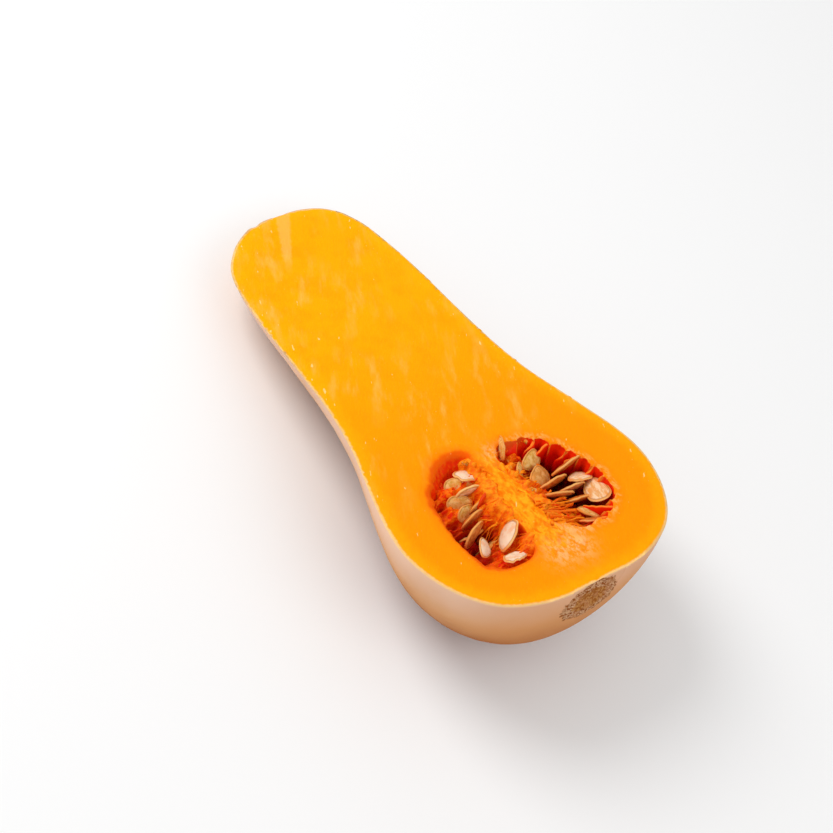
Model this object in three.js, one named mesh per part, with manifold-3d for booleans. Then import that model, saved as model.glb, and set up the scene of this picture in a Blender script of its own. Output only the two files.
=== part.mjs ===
// A butternut squash cut lengthwise, lying on its rounded skin with the cut face up.
// Millimetres, +Z up. Shapes are drawn in the fruit's own frame: x runs along the fruit from the
// neck's end to the blossom end, y across it, and z = 0 is the cut face with the flesh below it.
// The group at the end lays the half on its two lowest places, the bulb's and the neck's.
import * as THREE from 'three';
import { mergeVertices } from 'three/addons/utils/BufferGeometryUtils.js';
import Module from 'manifold-3d';

const wasm = await Module();
wasm.setup();

// ---- Driving dimensions --------------------------------------------------------------------

// The fruit's radius along its own axis: [place along the fruit, radius].
const PROFILE = [
  [2.0, 0],
  [1.2, 9],
  [0.0, 18.4],
  [1.6, 24],
  [5, 29],
  [11.5, 34.3],
  [23, 39.3],
  [45, 41.9],
  [75, 42.6],
  [100, 43.5],
  [122, 46.8],
  [144, 53.3],
  [162, 58.2],
  [176, 59.5],
  [189, 57],
  [200, 51.8],
  [208.5, 44.7],
  [214, 36.2],
  [217.8, 25],
  [219.2, 14.5],
  [218.4, 12.8],
  [219, 9],
  [219, 0],
];
const STATIONS_PER_SPAN = 2;
const AROUND = 56;

// The knife ran at a slant: this far below the fruit's axis at the neck, through it at the bulb.
const LENGTH = 219.4;
const AXIS_ABOVE_CUT_AT_NECK = 18.7;
const AXIS_ABOVE_CUT_AT_TIP = -0.9;
// The neck's end leans a little to the far side.
const NECK_LEAN = 4;
const NECK_LEAN_REACH = 16;

// Seed chambers: rim outlines in the cut face, anticlockwise, and depth of each hollow.
const CHAMBER_DEPTH = 24;
const FAR_RIM = [
  [147.5, 9], [150, 5], [158, 4], [170, 4.5], [182, 5], [191, 6.5], [196.5, 12], [197, 20],
  [194, 28], [188.5, 34], [180, 36.6], [171, 35.2], [162.5, 32], [155, 27], [149.5, 20],
];
const NEAR_RIM = [
  [143.5, -15], [148.5, -25], [155.5, -31.5], [164, -35.3], [174, -37.3], [184, -36.8],
  [192.5, -33.5], [197.5, -28], [199, -20], [196, -13], [188, -9.8], [178, -9.3], [166, -8.6],
  [154, -7.4], [146, -8],
];
const RIM_POINTS = 50;
// Each seed has left a pocket in the outer wall, with a thin ridge to the next one.
const POCKET_WIDTH = 6.2;
const POCKET_DEPTH = 1.7;
// They start and are full this far from the ridge, as shares of the chamber's width.
const POCKETS_FROM = 0.35;
const POCKETS_FULL = 0.6;
// The hollow is cut from this far above the cut face.
const CUT_CLEARANCE = 4;
// A chamber's hollow narrows with depth: [share of the depth, share of the rim's width].
const BOWL_STEPS = [[0, 1], [0.25, 0.97], [0.5, 0.88], [0.72, 0.73], [0.9, 0.48], [1, 0.2]];

// Pulp fills the bottom of each chamber and climbs its ridge side.
const FIT_GAP = 0.3;
const PULP_TOP_AT_RIDGE = -2.5;
const PULP_TOP_AT_WALL = -10;
// Its top slopes between these shares of the chamber's width, with ripples along and across.
const SLOPE_FROM = 0.05;
const SLOPE_TO = 0.75;
const RIPPLE_HEIGHT = 0.8;
const RIPPLE_LENGTH = 6;
const RIPPLE_WIDTH = 12.5;
// Rings of its top, from the wall to the middle.
const PULP_RINGS = [0.75, 0.5, 0.25];
const FAR_RIDGE_Y = 4.5;
const NEAR_RIDGE_Y = -9;
const CHAMBER_WIDTH = 27;

// Seeds: flat drops, pointed where they hang on the pulp.
const SEED_LENGTH = 15;
const SEED_WIDTH = 9.4;
const SEED_THICKNESS = 3;
const SEED_RIM_THICKNESS = 1.1;
const SEED_SIDES = 10;
// How much the outline narrows to its point, and what keeps its full width in spite of that.
const SEED_TAPER = 0.2;
const SEED_FULLNESS = 1.12;
// Each seed: middle x, y, z, heading of its round end, dip of that end, roll about its length
// (degrees), and size against a full seed.
const FAR_SEEDS = [
  [148.5, 8.5, -1, -30, 0, -90, 0.8],
  [157.5, 18, -5, 105, 5, 45, 0.85],
  [160, 10, -5, 125, 20, 60, 0.75],
  [166, 15.5, -6, 115, 10, 30, 1],
  [167, 27.5, -3, 95, -10, -70, 1],
  [170, 18.5, -6, 90, -5, -75, 1],
  [173.5, 29.5, -4, 90, 10, -25, 0.8],
  [175, 25, -7, 90, 10, -70, 0.95],
  [181.5, 32, -4.5, -25, -15, 20, 1.1],
  [176, 17, -5.5, 80, 15, -60, 1],
  [180.5, 23, -7, 90, 15, -60, 0.95],
  [189, 22, -5, 70, 25, -20, 0.85],
  [193, 19, -4, 85, 15, -45, 0.85],
];
const NEAR_SEEDS = [
  [153, -11, -3.5, -100, -15, 20, 0.9],
  [154.5, -17, -5, -115, 10, -40, 0.75],
  [159, -14.5, -5, -95, -5, 80, 1],
  [161, -21, -6, -110, 5, -50, 0.7],
  [165, -14, -7.5, -75, -20, 80, 0.9],
  [164.5, -11.5, -4.5, -70, -5, -90, 0.85],
  [166, -21, -6.5, -80, -15, -60, 0.75],
  [169, -20.5, -6.5, -75, -10, 80, 0.95],
  [176, -25.5, -5.5, -65, 0, -85, 1],
  [184.5, -16.5, -3, 130, -10, -55, 1],
  [184, -27, -5, 130, 15, 40, 0.75],
  [194, -20, -2.5, -85, -10, 30, 0.8],
];
// A lower tier, mostly hidden, in a row that follows the wall under the visible seeds.
const LOWER_SEEDS = 5;
const LOWER_TIER_Z = -13;
const LOWER_TIER_LENGTH = 30;
const LOWER_TIER_BOW = 4;
// The tier's seeds fan out over this angle in all, dip to the wall and lean over.
const LOWER_TIER_FAN = 40;
const LOWER_TIER_DIP = 8;
const LOWER_TIER_ROLL = 60;
const LOWER_SEED_SIZE = 0.95;

// Strands of pulp tie each seed to the ridge, from below the pulp's top to this share of the
// way from the seed's middle to its tip.
const STRAND_END_SHARE = 0.7;
const STRAND_ROOT_BELOW_TOP = 2;
const STRAND_ROOT_RADIUS = 1.7;
const STRAND_TIP_RADIUS = 1;
const STRAND_SIDES = 4;

// At rest the neck dips until it touches too, and the weight flattens both resting places.
const REST_TILT_DEG = 12.45;
const REST_LIFT = 17.05;
const MIDDLE_X = 109.14;
// Side of the blocks that cut the fruit: longer than the fruit every way.
const CUTTER_SIDE = 600;

const SKIN_COLOUR = 0xe2ba95;
const SKIN_ROUGHNESS = 0.55;
const PULP_COLOUR = 0xe8600f;
const PULP_ROUGHNESS = 0.4;

// ---- Helpers -------------------------------------------------------------------------------

// A closed geometry as a solid: shared corners merged and the slivers at poles left out.
function toSolid(geometry) {
  const bare = geometry.clone();
  bare.deleteAttribute('normal');
  bare.deleteAttribute('uv');
  const merged = mergeVertices(bare, 1e-4);
  const corners = merged.index.array;
  const triangles = [];
  for (let i = 0; i < corners.length; i += 3) {
    const [a, b, c] = [corners[i], corners[i + 1], corners[i + 2]];
    if (a !== b && b !== c && c !== a) {
      triangles.push(a, b, c);
    }
  }
  return new wasm.Manifold(new wasm.Mesh({
    numProp: 3,
    vertProperties: new Float32Array(merged.attributes.position.array),
    triVerts: new Uint32Array(triangles),
  }));
}

function toGeometry(solid) {
  const mesh = solid.getMesh();
  const geometry = new THREE.BufferGeometry();
  geometry.setAttribute('position', new THREE.BufferAttribute(mesh.vertProperties, 3));
  geometry.setIndex(new THREE.BufferAttribute(mesh.triVerts, 1));
  geometry.computeVertexNormals();
  return geometry;
}

// The largest of the separate bodies in a solid; loose scraps are dropped.
function largestBody(solid) {
  const bodies = solid.decompose();
  bodies.sort((a, b) => b.volume() - a.volume());
  return bodies[0];
}

// A closed body through rings of points, with a fan of triangles over the first and last ring.
function loft(rings) {
  const count = rings[0].length;
  const positions = rings.flat().flatMap((p) => [p.x, p.y, p.z]);
  const triangles = [];
  for (let ring = 0; ring < rings.length - 1; ring += 1) {
    for (let i = 0; i < count; i += 1) {
      const a = ring * count + i;
      const b = ring * count + ((i + 1) % count);
      triangles.push(a, b, b + count, a, b + count, a + count);
    }
  }
  const last = (rings.length - 1) * count;
  const firstCentre = rings.length * count;
  positions.push(...centreOf(rings[0]).toArray());
  positions.push(...centreOf(rings[rings.length - 1]).toArray());
  for (let i = 0; i < count; i += 1) {
    const next = (i + 1) % count;
    triangles.push(firstCentre, next, i);
    triangles.push(firstCentre + 1, last + i, last + next);
  }
  const geometry = new THREE.BufferGeometry();
  geometry.setAttribute('position', new THREE.Float32BufferAttribute(positions, 3));
  geometry.setIndex(triangles);
  return geometry;
}

function centreOf(points) {
  const sum = new THREE.Vector3();
  points.forEach((p) => sum.add(p));
  return sum.divideScalar(points.length);
}

function axisAboveCut(x) {
  return THREE.MathUtils.lerp(AXIS_ABOVE_CUT_AT_NECK, AXIS_ABOVE_CUT_AT_TIP, x / LENGTH);
}

function neckLean(x) {
  return NECK_LEAN * Math.exp(-((x / NECK_LEAN_REACH) ** 2));
}

// ---- The half fruit ------------------------------------------------------------------------

// The whole fruit, turned about its axis, which is then laid at its slant to the cut.
function wholeFruit() {
  const curve = new THREE.SplineCurve(PROFILE.map(([x, r]) => new THREE.Vector2(r, x)));
  const stations = curve.getPoints((PROFILE.length - 1) * STATIONS_PER_SPAN);
  stations[0].x = 0;
  stations[stations.length - 1].x = 0;
  stations.forEach((p) => p.setX(Math.max(p.x, 0)));
  const fruit = new THREE.LatheGeometry(stations, AROUND);
  fruit.rotateZ(-Math.PI / 2);
  const position = fruit.attributes.position;
  for (let i = 0; i < position.count; i += 1) {
    const x = position.getX(i);
    position.setY(i, position.getY(i) + neckLean(x));
    position.setZ(i, position.getZ(i) + axisAboveCut(x));
  }
  return toSolid(fruit);
}

// Everything below the cut face, as one large block.
function belowCut() {
  const block = new THREE.BoxGeometry(CUTTER_SIDE, CUTTER_SIDE, CUTTER_SIDE);
  block.translate(0, 0, -CUTTER_SIDE / 2);
  return toSolid(block);
}

// Everything under the surface that the half rests on, in the fruit's frame.
function belowRest(restMatrix) {
  return belowCut().transform(restMatrix.clone().invert().toArray());
}

// A chamber's rim, moved outward by grow, with the seeds' pockets pressed into its outer wall.
function rimRing(rim, ridgeY, grow) {
  const curve = new THREE.CatmullRomCurve3(rim.map(([x, y]) => new THREE.Vector3(x, y, 0)), true);
  const ring = [];
  for (let i = 0; i < RIM_POINTS; i += 1) {
    const u = i / RIM_POINTS;
    const point = curve.getPointAt(u);
    const along = curve.getTangentAt(u);
    const away = Math.abs(point.y - ridgeY) / CHAMBER_WIDTH;
    const onWall = THREE.MathUtils.smoothstep(away, POCKETS_FROM, POCKETS_FULL);
    const wave = Math.abs(Math.cos((Math.PI * u * curve.getLength()) / POCKET_WIDTH));
    const push = grow + POCKET_DEPTH * onWall * (wave - 0.5);
    ring.push(new THREE.Vector3(point.x + along.y * push, point.y - along.x * push, 0));
  }
  return ring;
}

// One ring of a chamber, shrunk towards the rim's middle and let down to z.
function lowered(ring, share, z) {
  const middle = centreOf(ring);
  return ring.map((p) => p.clone().lerpVectors(middle, p, share).setZ(z));
}

// The hollow of a chamber: open past the cut face, closing to a rounded floor.
function chamber(rim, ridgeY, grow) {
  const ring = rimRing(rim, ridgeY, grow);
  const depth = CHAMBER_DEPTH + grow;
  const rings = BOWL_STEPS.map(([down, share]) => lowered(ring, share, -depth * down));
  rings.unshift(lowered(ring, 1, CUT_CLEARANCE));
  return toSolid(loft(rings.reverse()));
}

function squashHalf(restMatrix) {
  return wholeFruit()
    .intersect(belowCut())
    .subtract(chamber(FAR_RIM, FAR_RIDGE_Y, 0))
    .subtract(chamber(NEAR_RIM, NEAR_RIDGE_Y, 0))
    .subtract(belowRest(restMatrix));
}

// ---- Seeds and pulp ------------------------------------------------------------------------

// Height of the pulp's top: high along the ridge, low at the wall, rippled by its strands.
function pulpTop(x, y, ridgeY) {
  const away = Math.abs(y - ridgeY) / CHAMBER_WIDTH;
  const slope = THREE.MathUtils.smoothstep(away, SLOPE_FROM, SLOPE_TO);
  const along = Math.sin((2 * Math.PI * x) / RIPPLE_LENGTH);
  const across = Math.cos((2 * Math.PI * y) / RIPPLE_WIDTH);
  const top = THREE.MathUtils.lerp(PULP_TOP_AT_RIDGE, PULP_TOP_AT_WALL, slope);
  return top + RIPPLE_HEIGHT * along * across;
}

function pulpBed(rim, ridgeY) {
  const ring = rimRing(rim, ridgeY, -FIT_GAP);
  const floorRings = BOWL_STEPS.map(([down, share]) => lowered(ring, share, -CHAMBER_DEPTH * down));
  const skirt = floorRings[1].map((p) => p.clone().setZ(pulpTop(p.x, p.y, ridgeY)));
  const topRings = PULP_RINGS.map((share) => lowered(skirt, share, 0));
  topRings.forEach((top) => top.forEach((p) => p.setZ(pulpTop(p.x, p.y, ridgeY))));
  return toSolid(loft([...floorRings.slice(3).reverse(), skirt, ...topRings]));
}

// A seed's outline: a drop with its point at -x and its round end at +x.
function seedOutline(i) {
  const angle = (2 * Math.PI * i) / SEED_SIDES;
  const taper = 1 - SEED_TAPER + SEED_TAPER * Math.cos(angle);
  return new THREE.Vector2(
    (SEED_LENGTH / 2) * Math.cos(angle),
    (SEED_WIDTH / 2) * Math.sin(angle) * taper * SEED_FULLNESS,
  );
}

function seed([x, y, z, heading, dip, roll, size]) {
  const outline = Array.from({ length: SEED_SIDES }, (_, i) => seedOutline(i));
  const half = SEED_RIM_THICKNESS / 2;
  const lower = outline.map((p) => new THREE.Vector3(p.x, p.y, -half));
  const upper = outline.map((p) => new THREE.Vector3(p.x, p.y, half));
  const body = loft([lower, upper]);
  const position = body.attributes.position;
  const lowerMiddle = position.count - 2;
  position.setZ(lowerMiddle, -SEED_THICKNESS / 2);
  position.setZ(lowerMiddle + 1, SEED_THICKNESS / 2);
  body.scale(size, size, size);
  body.applyMatrix4(seedTurn(heading, dip, roll));
  body.translate(x, y, z);
  return toSolid(body);
}

function seedTurn(heading, dip, roll) {
  const turn = new THREE.Matrix4().makeRotationZ(THREE.MathUtils.degToRad(heading));
  turn.multiply(new THREE.Matrix4().makeRotationY(THREE.MathUtils.degToRad(dip)));
  return turn.multiply(new THREE.Matrix4().makeRotationX(THREE.MathUtils.degToRad(roll)));
}

// The lower tier: seeds on edge in a row half way between ridge and wall.
function lowerSeeds(rim, ridgeY) {
  const side = Math.sign(ridgeY);
  const middle = centreOf(rim.map(([x, y]) => new THREE.Vector3(x, y, 0)));
  return Array.from({ length: LOWER_SEEDS }, (_, i) => {
    const along = i / (LOWER_SEEDS - 1) - 0.5;
    const x = middle.x + along * LOWER_TIER_LENGTH;
    const y = middle.y - side * Math.abs(along) * LOWER_TIER_BOW;
    const heading = side * (90 - along * LOWER_TIER_FAN);
    const roll = -side * LOWER_TIER_ROLL;
    return [x, y, LOWER_TIER_Z, heading, LOWER_TIER_DIP, roll, LOWER_SEED_SIZE];
  });
}

// A tapering strand of pulp from the ridge's flank to a seed's tip.
function strand([x, y, z, heading, dip, , size], ridgeY) {
  const reach = (SEED_LENGTH / 2) * size * STRAND_END_SHARE;
  const round = new THREE.Vector3(1, 0, 0).applyMatrix4(seedTurn(heading, dip, 0));
  const tip = new THREE.Vector3(x, y, z).addScaledVector(round, -reach);
  const rootZ = PULP_TOP_AT_RIDGE - STRAND_ROOT_BELOW_TOP;
  const root = new THREE.Vector3(x, ridgeY + Math.sign(ridgeY), rootZ);
  const run = new THREE.Vector3().subVectors(tip, root);
  const tube = new THREE.CylinderGeometry(
    STRAND_TIP_RADIUS, STRAND_ROOT_RADIUS, run.length(), STRAND_SIDES,
  );
  const up = new THREE.Vector3(0, 1, 0);
  tube.applyQuaternion(new THREE.Quaternion().setFromUnitVectors(up, run.clone().normalize()));
  const middle = new THREE.Vector3().addVectors(root, tip).multiplyScalar(0.5);
  tube.translate(middle.x, middle.y, middle.z);
  return toSolid(tube);
}

// Pulp, strands and seeds of one chamber as one body, held clear of the chamber's walls.
function seedsAndPulp(rim, ridgeY, seeds) {
  const parts = [pulpBed(rim, ridgeY)];
  seeds.forEach((place) => parts.push(seed(place), strand(place, ridgeY)));
  lowerSeeds(rim, ridgeY).forEach((place) => parts.push(seed(place)));
  const joined = parts.reduce((all, next) => all.add(next));
  return largestBody(joined.intersect(chamber(rim, ridgeY, -FIT_GAP)));
}

// ---- The scene graph -----------------------------------------------------------------------

function piece(name, solid, colour, roughness) {
  const material = new THREE.MeshStandardMaterial({ color: colour, roughness, metalness: 0 });
  const mesh = new THREE.Mesh(toGeometry(solid), material);
  mesh.name = name;
  return mesh;
}

const squash = new THREE.Group();
squash.rotation.y = -THREE.MathUtils.degToRad(REST_TILT_DEG);
squash.position.set(-MIDDLE_X, 0, REST_LIFT);
squash.updateMatrixWorld(true);

const half = squashHalf(squash.matrixWorld);
const farPulp = seedsAndPulp(FAR_RIM, FAR_RIDGE_Y, FAR_SEEDS);
const nearPulp = seedsAndPulp(NEAR_RIM, NEAR_RIDGE_Y, NEAR_SEEDS);
squash.add(piece('squash_half', half, SKIN_COLOUR, SKIN_ROUGHNESS));
squash.add(piece('seeds_and_pulp_far', farPulp, PULP_COLOUR, PULP_ROUGHNESS));
squash.add(piece('seeds_and_pulp_near', nearPulp, PULP_COLOUR, PULP_ROUGHNESS));

export default squash;
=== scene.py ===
"""Looks of a butternut squash cut lengthwise: skin, flesh, seed chambers, pulp, strings and seeds.

Shapes are drawn in millimetres in the fruit's own frame, as in the part's source: x runs from the
neck's end to the blossom end, y across, and z = 0 is the cut face with the flesh below it.
to_row() lays a point in the row frame, in metres.
"""

import math

import bpy
import numpy as np
from mathutils import Matrix, Vector
from mathutils.geometry import delaunay_2d_cdt
from mathutils.kdtree import KDTree


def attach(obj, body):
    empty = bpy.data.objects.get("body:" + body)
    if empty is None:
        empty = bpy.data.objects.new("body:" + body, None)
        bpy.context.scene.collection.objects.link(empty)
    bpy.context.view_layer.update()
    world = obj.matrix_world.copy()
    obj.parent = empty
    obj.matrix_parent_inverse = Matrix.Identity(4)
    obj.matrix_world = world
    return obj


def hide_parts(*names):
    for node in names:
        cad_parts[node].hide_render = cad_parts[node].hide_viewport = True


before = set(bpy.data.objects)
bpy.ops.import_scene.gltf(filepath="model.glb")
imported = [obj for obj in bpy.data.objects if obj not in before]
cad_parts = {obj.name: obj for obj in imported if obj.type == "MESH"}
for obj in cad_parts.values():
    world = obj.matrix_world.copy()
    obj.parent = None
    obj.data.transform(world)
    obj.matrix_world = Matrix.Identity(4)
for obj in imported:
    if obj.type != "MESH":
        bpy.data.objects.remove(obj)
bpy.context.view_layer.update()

# ---- Driving dimensions, the same as in the part's source unless a comment says otherwise ----

# The fruit's radius along its axis. Only the step round the blossom scar, at radius 12.8, is
# shallower than in the source.
PROFILE = [
    (2.0, 0), (1.2, 9), (0.0, 18.4), (1.6, 24), (5, 29), (11.5, 34.3), (23, 39.3), (45, 41.9),
    (75, 42.6), (100, 43.5), (122, 46.8), (144, 53.3), (162, 58.2), (176, 59.5), (189, 57),
    (200, 51.8), (208.5, 44.7), (214, 36.2), (217.8, 25), (219.2, 14.5), (219.1, 12.8),
    (219, 9), (219, 0),
]
LENGTH = 219.4
AXIS_ABOVE_CUT_AT_NECK = 18.7
AXIS_ABOVE_CUT_AT_TIP = -0.9
NECK_LEAN = 4
NECK_LEAN_REACH = 16

CHAMBER_DEPTH = 24
CHAMBER_WIDTH = 27
FAR_RIM = [
    (147.5, 9), (150, 5), (158, 4), (170, 4.5), (182, 5), (191, 6.5), (196.5, 12), (197, 20),
    (194, 28), (188.5, 34), (180, 36.6), (171, 35.2), (162.5, 32), (155, 27), (149.5, 20),
]
NEAR_RIM = [
    (143.5, -15), (148.5, -25), (155.5, -31.5), (164, -35.3), (174, -37.3), (184, -36.8),
    (192.5, -33.5), (197.5, -28), (199, -20), (196, -13), (188, -9.8), (178, -9.3), (166, -8.6),
    (154, -7.4), (146, -8),
]
FAR_RIDGE_Y = 4.5
NEAR_RIDGE_Y = -9
# A chamber's hollow narrows with depth: share of the depth, share of the rim's width.
BOWL_STEPS = [(0, 1), (0.25, 0.97), (0.5, 0.88), (0.72, 0.73), (0.9, 0.48), (1, 0.2)]

SEED_LENGTH = 15
SEED_WIDTH = 9.4
# Each seed: middle x, y, z, heading of its round end, dip of that end, roll about its length
# (degrees), size against a full seed. The last number is new here: its tone, from 0 (bare red
# membrane) over 0.2 (olive and wet) and 0.5 (tan, its red-brown partly painted shade) to 1
# (pale, dry and torn).
FAR_SEEDS = [
    (148.5, 8.5, -1, -30, 0, -90, 0.8, 0.1),
    (157.5, 18, -5, 105, 5, 45, 0.85, 0.2),
    (160, 10, -5, 125, 20, 60, 0.75, 0.2),
    (166, 15.5, -6, 115, 10, 30, 1, 0.34),
    (167, 27.5, -3, 95, -10, -70, 1, 0.5),
    (170, 18.5, -6, 90, -5, -75, 1, 0.45),
    (173.5, 29.5, -4, 90, 10, -25, 0.8, 0.9),
    (175, 25, -7, 90, 10, -70, 0.95, 0.6),
    (181.5, 32, -4.5, -25, -15, 20, 1.1, 0.85),
    (176, 17, -5.5, 80, 15, -60, 1, 0.4),
    (180.5, 23, -7, 90, 15, -60, 0.95, 0.5),
    (189, 22, -5, 70, 25, -20, 0.85, 0.3),
    (193, 19, -4, 85, 15, -45, 0.85, 0.5),
]
NEAR_SEEDS = [
    (153, -11, -3.5, -100, -15, 20, 0.9, 1),
    (154.5, -17, -5, -115, 10, -40, 0.75, 0.2),
    (159, -14.5, -5, -95, -5, 80, 1, 0.82),
    (161, -21, -6, -110, 5, -50, 0.7, 0.3),
    (165, -14, -7.5, -75, -20, 80, 0.9, 0.15),
    (164.5, -11.5, -4.5, -70, -5, -90, 0.85, 0),
    (166, -21, -6.5, -80, -15, -60, 0.75, 0.2),
    (169, -20.5, -6.5, -75, -10, 80, 0.95, 0.4),
    (176, -25.5, -5.5, -65, 0, -85, 1, 0.4),
    (184.5, -16.5, -3, 130, -10, -55, 1, 0.95),
    (184, -27, -5, 130, 15, 40, 0.75, 0.95),
    (194, -20, -2.5, -85, -10, 30, 0.8, 1),
]
# The lower tier, mostly hidden: a bowed row of seeds that fan out, dip and lean over.
LOWER_SEEDS = 5
LOWER_TIER_Z = -13
LOWER_TIER_LENGTH = 30
LOWER_TIER_BOW = 4
LOWER_TIER_FAN = 40
LOWER_TIER_DIP = 8
LOWER_TIER_ROLL = 60
LOWER_SEED_SIZE = 0.95

REST_TILT = math.radians(12.45)
REST_LIFT = 17.05
MIDDLE_X = 109.14

# ---- Finer forms, which the part's source leaves out or has plainer ----

# Where thin walls between the seeds' pockets meet the rim, anticlockwise, and the pockets' depth.
FAR_CUSPS = [
    (196.8, 20), (195.4, 25.5), (191.4, 30.8), (180, 36.7), (173.4, 35.2), (167.5, 33.5),
    (161.9, 31.6), (156, 28.3), (151.6, 22.5), (147.8, 16.3),
]
NEAR_CUSPS = [
    (144.5, -18), (149.5, -26.5), (157, -32.3), (165.5, -35.7), (175, -37.3), (185, -36.6),
    (194, -32.3), (198.6, -24),
]
FAR_POCKET_DEPTH = 2.5
NEAR_POCKET_DEPTH = 0.3
# How much of that depth the thin walls reach inside the rim.
CUSP_REACH = 0.8
# The thin walls themselves: where each leaves the rim, its heading, its length and how far its
# free edge sinks along it.
SEPTA = [
    (151.6, 22.5, -70, 6, 3), (156, 28.3, -82, 10, 5), (161.9, 31.6, -95, 5, 5),
    (167.5, 33.5, -112, 7, 3), (173.4, 35.2, -84, 6, 4), (180, 36.7, -88, 5, 4),
    (193, 29.5, -129, 12, 3), (196.3, 22.5, -104, 10, 3.5),
]
SEPTUM_STEPS = 14
# A thin wall's section: how far to the side, and how far below its free edge.
SEPTUM_SECTION = [
    (-1.6, 4), (-1.1, 1.4), (-0.8, 0.5), (-0.45, 0.1), (0, 0), (0.45, 0.1), (0.8, 0.5), (1.1, 1.4),
    (1.6, 4),
]
# Its foot, hidden in the pulp: how far to the side, and its height.
SEPTUM_FOOT = 3
SEPTUM_BASE = -15

# Places in the cut plane: x, y, radius, and how much or how high there.
# The chambers' walls slope in where they end towards the neck.
SLOPED_WALLS = [(147, -18, 11, 6), (148, 13, 7, 6)]
# The near chamber's rim is rounded and soft here instead of cut.
SOFT_RIMS = [(147, -20, 12, 1), (146, -10, 7, 1), (158, -33, 9, 1), (193, -33, 7, 1)]
# Torn, dry fibres past the ridge's ends; their pale colour is partly painted highlight.
TORN_PLACES = [(193, 9, 6, 1), (202, 3, 6, 1), (202, -5, 6, 0.8), (150, 3, 4, 0.8)]
# The fibrous ridge between the chambers: where it rises, is full, fades and ends, across and along.
RIDGE_ACROSS = (-12, -7.5, 3.5, 7)
RIDGE_ALONG = (146, 154, 197, 207)
# A dent and a low bump in the neck's end, where the stem stood. The last number is the way in.
STEM_MARKS = [(1, -9, 2, 0.8), (1, -13, 2.5, -0.4)]

# The blossom scar: a corky disc on the fruit's end.
SCAR_Y = -1.5
SCAR_Z = -11
SCAR_WIDTH = 28
SCAR_HEIGHT = 21

PULP_TOP_AT_RIDGE = -1.2
PULP_TOP_AT_WALL = -6
# How far the pulp laps over the ridge, and how far its edge drops there.
PULP_OVERLAP = 3
PULP_EDGE_DROP = 1.5
# Hollows in the pulp round the seeds, and mounds where the depth is negative: x, y, radius, depth.
HOLLOWS = [
    (149.5, -8.5, 3, -2), (147.5, -13.5, 4, 7), (153, -11, 3.5, 2), (156, -23, 3, -3),
    (162, -8, 5, -2), (192, -14, 5, -2), (160, 12, 3.5, 3), (154, 5.6, 1.8, 7),
    (152.5, 7.2, 1.8, 8), (163, -17, 3.5, 2.5), (177, -18.5, 4, 5), (152, 20, 4.5, 3),
    (157, 27, 5, 7), (165, 31, 6, 9), (174.5, 22, 6, 9), (172, 27, 6, 10), (183, 30, 5, 9),
    (190.5, 24, 4, 1.5), (184, 19, 4, 0.5), (164, 14, 4, 3), (148, -17, 5, 3), (158, -29, 6, 2),
    (170, -30, 7, 3), (178, -24, 8, 6), (184.5, -11.5, 2.5, 7), (186, -31, 5, 4),
]
# Pale crumbs of torn pulp: x, y, z and size.
CRUMBS = [(149.8, 20.4, -2, 2.2), (148.6, -10.5, -0.8, 2.2), (172, 5.5, -0.8, 1.8)]
CRUMB_SHREDS = 14

SEED_THICKNESS = 2.7
LOWER_SEED_TONE = 0.3
# Strings run to seeds whose tips are this near the ridge, and so many to each.
TIE_REACH = 9
TIES_PER_SEED = 5
BED_STRINGS = 45
FAN_STRINGS = 22
RIDGE_STRINGS = 24
# Ranges of a string's half width, sag, flatness and tone, from 0 (red) to 1 (pale).
TIE_TRAITS = ((0.25, 0.8), (-0.3, 1.0), (0.5, 0.9), (0, 0.9))
BED_TRAITS = ((0.3, 0.9), (-0.6, 0.2), (0.4, 0.9), (0, 0.9))
FAN_TRAITS = ((0.6, 1.7), (-0.6, 0.4), (0.2, 0.4), (0.2, 0.9))
RIDGE_TRAITS = ((0.2, 0.4), (-0.6, -0.2), (0.4, 0.8), (0.4, 0.85))

# ---- Meshing, knife marks, camera and light ----

# How finely the surfaces are meshed: spacings in mm, and boxes as low x, y and high x, y.
SKIN_COLUMNS = 181
SKIN_PER_SPAN = 9
RIM_PER_SPAN = 40
RIM_COUNT = 260
BOWL_ROWS = 44
PULP_EDGE_ROWS = 8
PULP_ROWS = 60
FACE_BOX = (0, -62, 220, 62)
FACE_SPACING = 1.7
FINE_BOX = (138, -44, 206, 44)
FINE_SPACING = 0.75
FINE_MARGIN = 0.5
EDGE_CLEARANCE = 0.6
SEED_AROUND = 44
SEED_RINGS = (0, 0.14, 0.28, 0.42, 0.55, 0.66, 0.75, 0.81, 0.86, 0.9, 0.935, 0.965, 0.985, 1)
STRING_SIDES = 6
STRING_STEPS = 14

# Marks of the knife run across the fruit's length at this angle.
GRAIN_TURN = math.radians(-30)
# A pale band in the neck's end along those marks: how far across them, and how far along.
NECK_BAND_Y = 6
NECK_BAND_END = 36

# The camera, in the fruit's frame: where it stands, and the picture's right and down.
CAMERA_PLACE = (483.7, -430.9, 552.9)
CAMERA_RIGHT = (0.5922, 0.7803, 0.2011)
CAMERA_DOWN = (0.6589, -0.3253, -0.6783)
LENS_MM = 86.43
SENSOR_MM = 36
FLOOR_REACH = 4
ROOM_LIGHT = 0.65
# Each light: how far towards the camera, to its right and up, its size (all in metres) and its
# power. Both aim at the fruit's middle.
LIGHTS = {"key": (0.7, -0.45, 1.0, 0.7, 8.5), "fill": (0.9, 0.8, -0.1, 0.9, 2)}
LIGHT_TARGET = (0, 0, 0.03)


# ---- Frames and curves ----

def turn_to_row(vectors):
    """Directions of the fruit's frame in the row frame."""
    v = np.asarray(vectors, float).reshape(-1, 3)
    c, s = math.cos(REST_TILT), math.sin(REST_TILT)
    return np.column_stack([v[:, 0] * c - v[:, 2] * s, v[:, 1], v[:, 0] * s + v[:, 2] * c])


def to_row(points):
    """Points of the fruit's frame, in mm, as points of the row frame, in metres."""
    return (turn_to_row(points) + np.array([-MIDDLE_X, 0, REST_LIFT])) / 1000


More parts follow.
